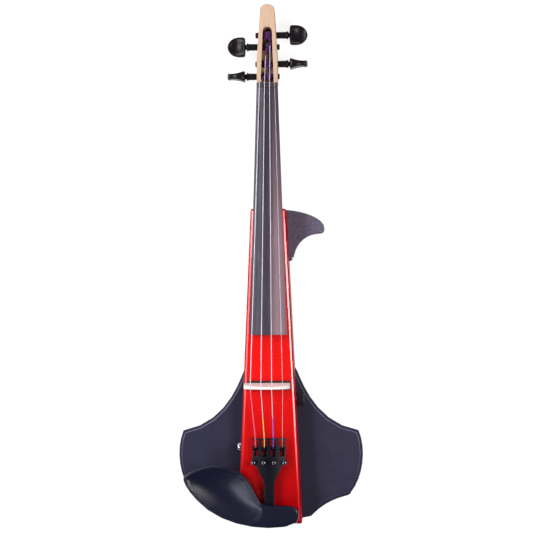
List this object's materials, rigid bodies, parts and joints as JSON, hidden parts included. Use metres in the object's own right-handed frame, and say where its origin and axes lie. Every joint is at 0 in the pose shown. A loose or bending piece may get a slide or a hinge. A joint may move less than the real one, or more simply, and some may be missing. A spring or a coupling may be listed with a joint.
{
  "type": "electric violin",
  "caption": "Solid-body electric violin: narrow tapered body with flat back wings and a shoulder fin, slotted pegbox, fine tuners, chinrest, volume knob and output jack.",
  "frame": {"origin": "on the flat back, on the centreline, under the bridge's tail face line", "axes": "+Y towards the head and pegs, +Z out of the front towards the strings, +X towards the treble side"},
  "size_m": [0.2036, 0.5731, 0.061],
  "materials": {
    "red_lacquer": "gloss metallic flake lacquer",
    "black_plate": "satin",
    "maple": "satin",
    "ebony": "oiled satin",
    "bridge_maple": "raw",
    "black_composite": "satin",
    "black_metal": "black plated",
    "screw_steel": "satin",
    "string_steel": "fine wound",
    "winding_silk": "silk wrap",
    "cord_nylon": "smooth",
    "cork": "matt",
    "clamp_steel": "polished",
    "jack_chrome": "polished",
    "pot_steel": "satin",
    "board": "gloss",
    "battery_case": "satin",
    "lead_jacket": "matt"
  },
  "bodies": {
    "instrument": {"body": "red_lacquer", "treble_wing": "black_plate", "bass_wing": "black_plate", "bass_wing_screw_top": "screw_steel", "bass_wing_screw_bottom": "screw_steel", "treble_wing_screw_top": "screw_steel", "treble_wing_screw_bottom": "screw_steel", "shoulder_fin": "black_plate", "fin_root_screw": "screw_steel", "fin_tip_screw": "screw_steel", "back_cover": "black_plate", "cover_screw_1": "screw_steel", "cover_screw_2": "screw_steel", "cover_screw_3": "screw_steel", "cover_screw_4": "screw_steel", "neck": "maple", "fingerboard": "ebony", "nut": "ebony", "string_g": "string_steel", "string_d": "string_steel", "string_a": "string_steel", "string_e": "string_steel", "bridge": "bridge_maple", "pickup_bed": "black_composite", "tailpiece": "black_composite", "tail_cord": "cord_nylon", "end_button": "ebony", "saddle": "ebony", "chinrest": "black_composite", "cork_bass": "cork", "cork_treble": "cork", "clamp_hook_bass": "clamp_steel", "clamp_hook_treble": "clamp_steel", "output_jack": "jack_chrome", "volume_pot": "pot_steel", "preamp_board": "board", "battery": "battery_case", "pickup_lead": "lead_jacket", "jack_lead": "lead_jacket"},
    "g_peg": {"peg_g": "ebony", "winding_g": "winding_silk"},
    "d_peg": {"peg_d": "ebony", "winding_d": "winding_silk"},
    "a_peg": {"peg_a": "ebony", "winding_a": "winding_silk"},
    "e_peg": {"peg_e": "ebony", "winding_e": "winding_silk"},
    "g_tuner_screw": {"tuner_screw_g": "black_metal"},
    "g_tuner_lever": {"tuner_lever_g": "black_metal"},
    "d_tuner_screw": {"tuner_screw_d": "black_metal"},
    "d_tuner_lever": {"tuner_lever_d": "black_metal"},
    "a_tuner_screw": {"tuner_screw_a": "black_metal"},
    "a_tuner_lever": {"tuner_lever_a": "black_metal"},
    "e_tuner_screw": {"tuner_screw_e": "black_metal"},
    "e_tuner_lever": {"tuner_lever_e": "black_metal"},
    "volume_control": {"volume_knob": "black_composite"},
    "treble_barrel": {"clamp_barrel_treble": "clamp_steel"},
    "bass_barrel": {"clamp_barrel_bass": "clamp_steel"},
    "clamp_foot_plate": {"clamp_foot": "clamp_steel", "foot_cork": "cork"}
  },
  "joints": [
    {"name": "g_peg_turn", "type": "hinge", "parent": "instrument", "child": "g_peg", "pos_m": [0, 0.3382, 0.03232], "axis": [1, 0, 0], "continuous": true},
    {"name": "d_peg_turn", "type": "hinge", "parent": "instrument", "child": "d_peg", "pos_m": [0, 0.371, 0.028], "axis": [1, 0, 0], "continuous": true},
    {"name": "a_peg_turn", "type": "hinge", "parent": "instrument", "child": "a_peg", "pos_m": [0, 0.384, 0.02629], "axis": [1, 0, 0], "continuous": true},
    {"name": "e_peg_turn", "type": "hinge", "parent": "instrument", "child": "e_peg", "pos_m": [0, 0.352, 0.0305], "axis": [1, 0, 0], "continuous": true},
    {"name": "g_tuner_screw_turn", "type": "hinge", "parent": "instrument", "child": "g_tuner_screw", "pos_m": [-0.0168, -0.0812, 0.05], "axis": [0, 0, -1], "range_deg": [0, 2160]},
    {"name": "g_tuner_lever_tilt", "type": "hinge", "parent": "instrument", "child": "g_tuner_lever", "pos_m": [-0.0146, -0.0664, 0.0452], "axis": [1, 0, 0], "range_deg": [0, 8]},
    {"name": "d_tuner_screw_turn", "type": "hinge", "parent": "instrument", "child": "d_tuner_screw", "pos_m": [-0.0056, -0.0812, 0.05], "axis": [0, 0, -1], "range_deg": [0, 2160]},
    {"name": "d_tuner_lever_tilt", "type": "hinge", "parent": "instrument", "child": "d_tuner_lever", "pos_m": [-0.00487, -0.0664, 0.0452], "axis": [1, 0, 0], "range_deg": [0, 8]},
    {"name": "a_tuner_screw_turn", "type": "hinge", "parent": "instrument", "child": "a_tuner_screw", "pos_m": [0.0056, -0.0812, 0.05], "axis": [0, 0, -1], "range_deg": [0, 2160]},
    {"name": "a_tuner_lever_tilt", "type": "hinge", "parent": "instrument", "child": "a_tuner_lever", "pos_m": [0.00487, -0.0664, 0.0452], "axis": [1, 0, 0], "range_deg": [0, 8]},
    {"name": "e_tuner_screw_turn", "type": "hinge", "parent": "instrument", "child": "e_tuner_screw", "pos_m": [0.0168, -0.0812, 0.05], "axis": [0, 0, -1], "range_deg": [0, 2160]},
    {"name": "e_tuner_lever_tilt", "type": "hinge", "parent": "instrument", "child": "e_tuner_lever", "pos_m": [0.0146, -0.0664, 0.0452], "axis": [1, 0, 0], "range_deg": [0, 8]},
    {"name": "volume_turn", "type": "hinge", "parent": "instrument", "child": "volume_control", "pos_m": [0.033, -0.0152, 0.017], "axis": [1, 0, 0], "range_deg": [-150, 150]},
    {"name": "treble_barrel_turn", "type": "hinge", "parent": "instrument", "child": "treble_barrel", "pos_m": [0.0155, -0.1497, 0.022], "axis": [0, 0, 1], "range_deg": [0, 1080]},
    {"name": "bass_barrel_turn", "type": "hinge", "parent": "instrument", "child": "bass_barrel", "pos_m": [-0.0155, -0.1497, 0.022], "axis": [0, 0, 1], "range_deg": [0, 1080]},
    {"name": "clamp_foot_slide", "type": "slide", "parent": "instrument", "child": "clamp_foot_plate", "axis": [0, 0, -1], "range_m": [0, 0.003]}
  ],
  "couplings": [
    {"joint": "g_tuner_screw_turn", "follows": "g_tuner_lever_tilt", "ratio": 270},
    {"joint": "d_tuner_screw_turn", "follows": "d_tuner_lever_tilt", "ratio": 270},
    {"joint": "a_tuner_screw_turn", "follows": "a_tuner_lever_tilt", "ratio": 270},
    {"joint": "e_tuner_screw_turn", "follows": "e_tuner_lever_tilt", "ratio": 270},
    {"joint": "treble_barrel_turn", "follows": "clamp_foot_slide", "rad_per_m": 6283},
    {"joint": "bass_barrel_turn", "follows": "clamp_foot_slide", "rad_per_m": 6283}
  ]
}
